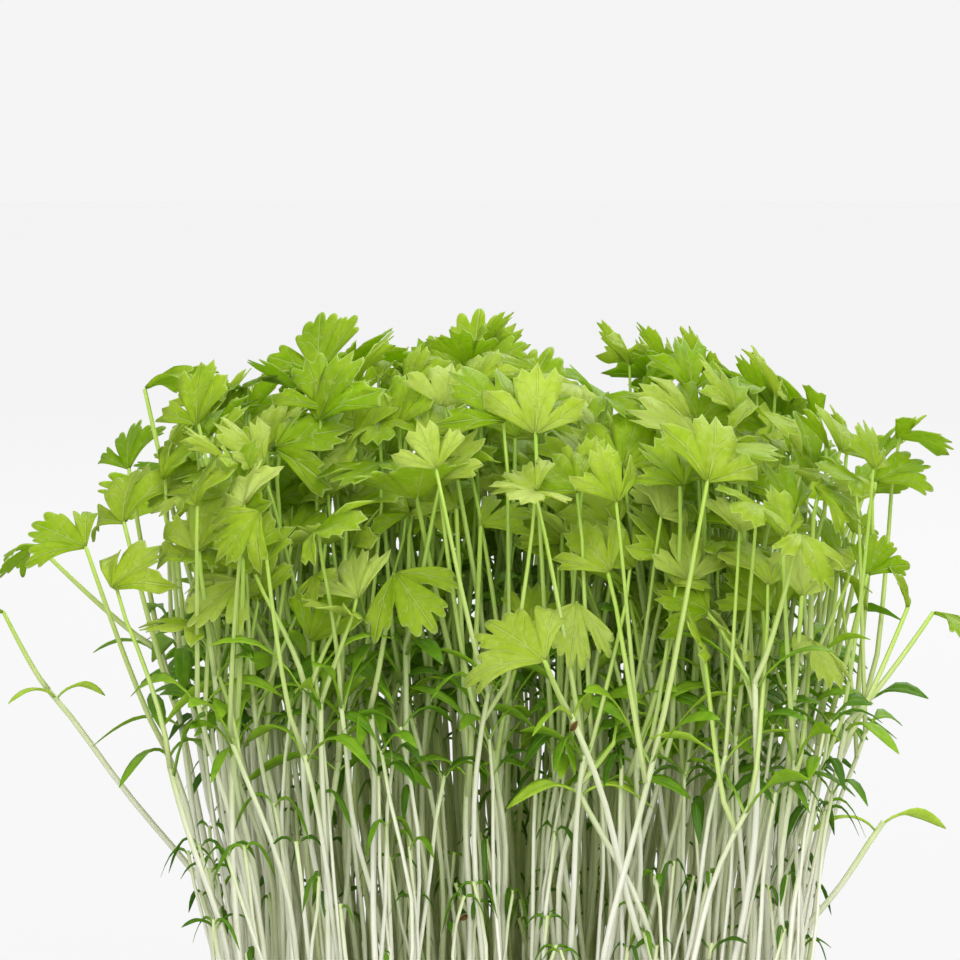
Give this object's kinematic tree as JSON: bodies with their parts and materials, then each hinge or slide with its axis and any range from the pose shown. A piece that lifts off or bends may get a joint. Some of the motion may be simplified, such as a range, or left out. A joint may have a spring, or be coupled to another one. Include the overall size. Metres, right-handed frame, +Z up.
{
  "type": "microgreens tray",
  "caption": "Small square plastic tray of growing medium with a dense stand of celery microgreens: pale leaning stems, narrow seed leaves and three-lobed green true leaves.",
  "frame": {"origin": "middle of the tray's underside, on the surface it stands on", "axes": "+Z up out of the tray, +X to the right and +Y away as seen from the front"},
  "size_m": [0.1339, 0.1154, 0.1255],
  "materials": {
    "seedling": "satin, translucent; white at the foot of the stems",
    "medium": "rough, fibrous",
    "tray": "satin"
  },
  "bodies": {
    "root": {"tray": "tray", "growing_medium": "medium", "tuft_r0_c0": "seedling", "tuft_r0_c1": "seedling", "tuft_r0_c2": "seedling", "tuft_r0_c3": "seedling", "tuft_r0_c4": "seedling", "tuft_r0_c5": "seedling", "tuft_r0_c6": "seedling", "tuft_r0_c7": "seedling", "tuft_r1_c0": "seedling", "tuft_r1_c1": "seedling", "tuft_r1_c2": "seedling", "tuft_r1_c3": "seedling", "tuft_r1_c4": "seedling", "tuft_r1_c5": "seedling", "tuft_r1_c6": "seedling", "tuft_r1_c7": "seedling", "tuft_r2_c0": "seedling", "tuft_r2_c1": "seedling", "tuft_r2_c2": "seedling", "tuft_r2_c3": "seedling", "tuft_r2_c4": "seedling", "tuft_r2_c5": "seedling", "tuft_r2_c6": "seedling", "tuft_r2_c7": "seedling", "tuft_r3_c0": "seedling", "tuft_r3_c1": "seedling", "tuft_r3_c2": "seedling", "tuft_r3_c3": "seedling", "tuft_r3_c4": "seedling", "tuft_r3_c5": "seedling", "tuft_r3_c6": "seedling", "tuft_r3_c7": "seedling", "tuft_r4_c0": "seedling", "tuft_r4_c1": "seedling", "tuft_r4_c2": "seedling", "tuft_r4_c3": "seedling", "tuft_r4_c4": "seedling", "tuft_r4_c5": "seedling", "tuft_r4_c6": "seedling", "tuft_r4_c7": "seedling", "tuft_r5_c0": "seedling", "tuft_r5_c1": "seedling", "tuft_r5_c2": "seedling", "tuft_r5_c3": "seedling", "tuft_r5_c4": "seedling", "tuft_r5_c5": "seedling", "tuft_r5_c6": "seedling", "tuft_r5_c7": "seedling", "tuft_r6_c0": "seedling", "tuft_r6_c1": "seedling", "tuft_r6_c2": "seedling", "tuft_r6_c3": "seedling", "tuft_r6_c4": "seedling", "tuft_r6_c5": "seedling", "tuft_r6_c6": "seedling", "tuft_r6_c7": "seedling"}
  },
  "joints": []
}
